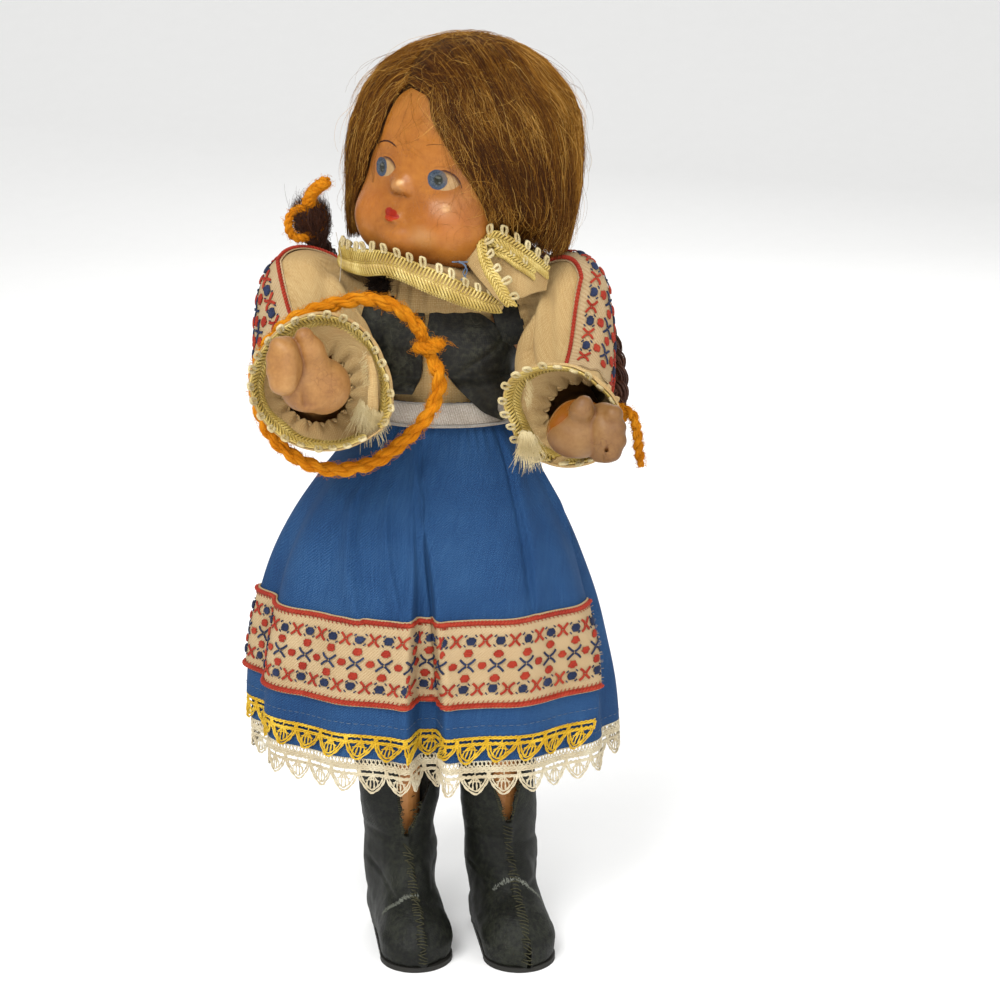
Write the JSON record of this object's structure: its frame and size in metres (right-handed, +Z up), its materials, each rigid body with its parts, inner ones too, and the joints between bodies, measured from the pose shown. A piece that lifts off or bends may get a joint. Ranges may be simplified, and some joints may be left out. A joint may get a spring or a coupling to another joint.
{
  "type": "composition doll in folk costume",
  "caption": "Small strung composition doll, standing, in a folk costume with a wig and braids; head, arms and legs turn",
  "frame": {"origin": "on the floor under the middle of the doll's whole outline; the torso's own axis stands 14 mm behind it", "axes": "+Z up, the doll faces -Y, its right side is -X"},
  "size_m": [0.126, 0.1143, 0.2894],
  "materials": {
    "composition": "painted composition, worn satin, fine crazing",
    "head_paint": "painted composition, slight gloss, fine crazing",
    "mohair": "brushed mohair",
    "wig_net": "open cotton net",
    "braid_hair": "dark wound mohair",
    "orange_wool": "two-ply wool, fuzzy",
    "wire": "drawn wire",
    "dowel_wood": "plain turned wood",
    "elastic": "covered elastic",
    "blouse_cloth": "coarse unbleached cotton",
    "gold_gimp": "shiny rayon gimp with picots",
    "vest_cloth": "worn dark oilcloth",
    "silver_ribbon": "woven metallic ribbon",
    "blue_cotton": "plain cotton",
    "woven_band": "cream woven ribbon with red and navy figures",
    "yellow_lace": "crocheted cotton",
    "cream_lace": "crocheted cotton",
    "boot_cloth": "worn black oilcloth",
    "boot_sole": "flat oilcloth-covered card"
  },
  "bodies": {
    "torso": {"torso": "composition", "body_elastic": "elastic", "arm_elastic": "elastic", "blouse_body": "blouse_cloth", "collar": "blouse_cloth", "collar_trim": "gold_gimp", "vest": "vest_cloth", "waistband": "silver_ribbon", "skirt": "blue_cotton", "skirt_lace": "cream_lace", "apron": "blue_cotton", "apron_band": "woven_band", "apron_lace": "yellow_lace"},
    "head": {"head": "head_paint", "neck_dowel": "dowel_wood", "neck_hook": "wire", "wig_cap": "wig_net", "wig_hair": "mohair", "braid_right": "braid_hair", "braid_left": "braid_hair", "braid_tie_right": "orange_wool", "braid_tie_left": "orange_wool"},
    "arm_right": {"arm_right": "composition", "arm_hook_right": "wire", "sleeve_right": "blouse_cloth", "sleeve_band_right": "woven_band", "cuff_right": "blouse_cloth", "cuff_trim_right": "gold_gimp", "yarn_ring": "orange_wool", "yarn_knot": "orange_wool"},
    "arm_left": {"arm_left": "composition", "arm_hook_left": "wire", "sleeve_left": "blouse_cloth", "sleeve_band_left": "woven_band", "cuff_left": "blouse_cloth", "cuff_trim_left": "gold_gimp"},
    "leg_right": {"leg_right": "composition", "leg_hook_right": "wire", "boot_right": "boot_cloth", "boot_sole_right": "boot_sole"},
    "leg_left": {"leg_left": "composition", "leg_hook_left": "wire", "boot_left": "boot_cloth", "boot_sole_left": "boot_sole"}
  },
  "joints": [
    {"name": "neck_swivel", "type": "hinge", "parent": "torso", "child": "head", "pos_m": [0.002, 0.014, 0.219], "axis": [0.1392, 0, 0.9903], "range_deg": [-22, 60], "deforming": ["braid_right", "braid_left", "braid_tie_right", "braid_tie_left", "body_elastic"]},
    {"name": "shoulder_right", "type": "hinge", "parent": "torso", "child": "arm_right", "pos_m": [-0.027, 0.014, 0.203], "axis": [-0.9659, 0, 0.2588], "range_deg": [-40, 44], "deforming": ["sleeve_right", "sleeve_band_right", "yarn_ring", "yarn_knot", "arm_elastic"]},
    {"name": "shoulder_left", "type": "hinge", "parent": "torso", "child": "arm_left", "pos_m": [0.027, 0.014, 0.203], "axis": [-0.9659, 0, -0.2588], "range_deg": [-40, 44], "deforming": ["sleeve_left", "sleeve_band_left"]},
    {"name": "hip_right", "type": "hinge", "parent": "torso", "child": "leg_right", "pos_m": [-0.0165, 0.014, 0.134], "axis": [-1, 0, 0], "range_deg": [-18, 18]},
    {"name": "hip_left", "type": "hinge", "parent": "torso", "child": "leg_left", "pos_m": [0.0165, 0.014, 0.134], "axis": [-1, 0, 0], "range_deg": [-18, 18]}
  ]
}
